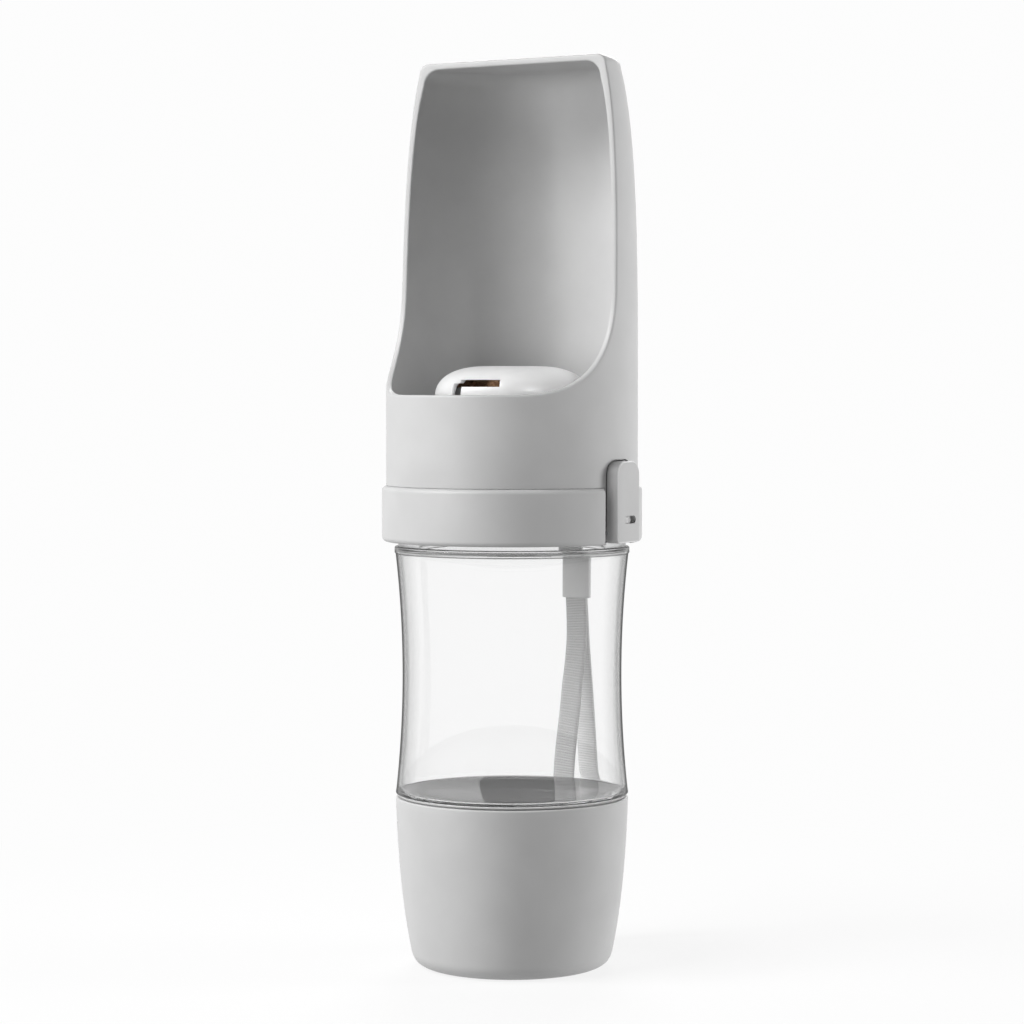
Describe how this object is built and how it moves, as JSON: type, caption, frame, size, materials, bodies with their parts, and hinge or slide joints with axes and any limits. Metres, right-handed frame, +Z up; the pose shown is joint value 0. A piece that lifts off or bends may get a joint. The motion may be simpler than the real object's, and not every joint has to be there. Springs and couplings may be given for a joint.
{
  "type": "dog travel water bottle",
  "caption": "Travel bottle for dogs: a clear bottle between a screw-on food cup and a tall drinking hood with a filtered outlet, a side lever valve and a wrist strap.",
  "frame": {"origin": "centre of the food cup's flat underside", "axes": "+Z up along the bottle, -Y towards the side that the hood opens to, +X towards the lever; the strap hangs at +Y"},
  "size_m": [0.0777, 0.0895, 0.265],
  "materials": {
    "grey_shell": "light warm grey, moulded, satin",
    "clear_bottle": "clear, polished",
    "white_plastic": "white, moulded",
    "mid_grey_plastic": "mid grey, moulded",
    "dark_seal": "dark grey silicone",
    "pale_seal": "milky silicone",
    "brown_filter": "brown granular filter block",
    "steel": "stainless",
    "strap_cord": "grey braided cord",
    "webbing": "grey ribbed webbing"
  },
  "bodies": {
    "base": {"food_cup": "grey_shell"},
    "cup_seal": {"cup_gasket": "dark_seal"},
    "bottle": {"bottle_body": "clear_bottle"},
    "head_seal": {"neck_seal": "pale_seal"},
    "head": {"collar_cap": "grey_shell", "drinking_scoop": "grey_shell", "bowl_gasket": "pale_seal", "outlet_riser": "white_plastic", "riser_gasket": "pale_seal", "filter_basket": "mid_grey_plastic", "filter_cartridge": "brown_filter", "filter_cap": "white_plastic", "lever_pin": "steel", "stem_ring": "dark_seal", "strap_anchor": "mid_grey_plastic", "valve_spring": "steel"},
    "cover": {"outlet_cover": "white_plastic"},
    "lever": {"flow_lever": "grey_shell", "lever_arm": "mid_grey_plastic", "arm_screws": "steel"},
    "lock": {"lock_slider": "mid_grey_plastic"},
    "valve": {"valve_stem": "white_plastic", "stem_cap": "mid_grey_plastic", "valve_disc": "pale_seal"},
    "strap": {"strap_loop": "strap_cord", "strap_sleeve": "mid_grey_plastic", "wrist_strap": "webbing"}
  },
  "joints": [
    {"name": "cup_lift", "type": "slide", "parent": "base", "child": "cup_seal", "axis": [0, 0, 1], "range_m": [0, 0.00401]},
    {"name": "cup_unscrew", "type": "hinge", "parent": "cup_seal", "child": "bottle", "pos_m": [0, 0, 0.05], "axis": [0, 0, 1], "range_deg": [0, 360]},
    {"name": "head_lift", "type": "slide", "parent": "bottle", "child": "head_seal", "axis": [0, 0, 1], "range_m": [0, 0.00401]},
    {"name": "head_unscrew", "type": "hinge", "parent": "head_seal", "child": "head", "pos_m": [0, 0, 0.134], "axis": [0, 0, 1], "range_deg": [0, 360]},
    {"name": "lever_press", "type": "hinge", "parent": "head", "child": "lever", "pos_m": [0.0354, -0.001, 0.1282], "axis": [0, -1, 0], "range_deg": [0, 6.5], "stiffness_Nm_per_rad": 0.01, "springref_deg": -5.73},
    {"name": "valve_stroke", "type": "slide", "parent": "head", "child": "valve", "axis": [0, 0, -1], "range_m": [0, 0.00246], "stiffness_N_per_m": 2, "springref_m": -0.005, "deforming": ["valve_spring"]},
    {"name": "lock_slide", "type": "slide", "parent": "lever", "child": "lock", "axis": [0, 1, 0], "range_m": [0, 0.0022]},
    {"name": "cover_twist", "type": "hinge", "parent": "head", "child": "cover", "pos_m": [0, 0, 0.155], "axis": [0, 0, 1], "range_deg": [0, 30]},
    {"name": "strap_swing", "type": "hinge", "parent": "head", "child": "strap", "pos_m": [0, 0.0394, 0.1272], "axis": [1, 0, 0], "range_deg": [0, 80]}
  ],
  "couplings": [
    {"joint": "cup_lift", "follows": "cup_unscrew", "m_per_rad": 0.00063662},
    {"joint": "head_lift", "follows": "head_unscrew", "m_per_rad": 0.00063662},
    {"joint": "valve_stroke", "follows": "lever_press", "m_per_rad": 0.0216}
  ]
}
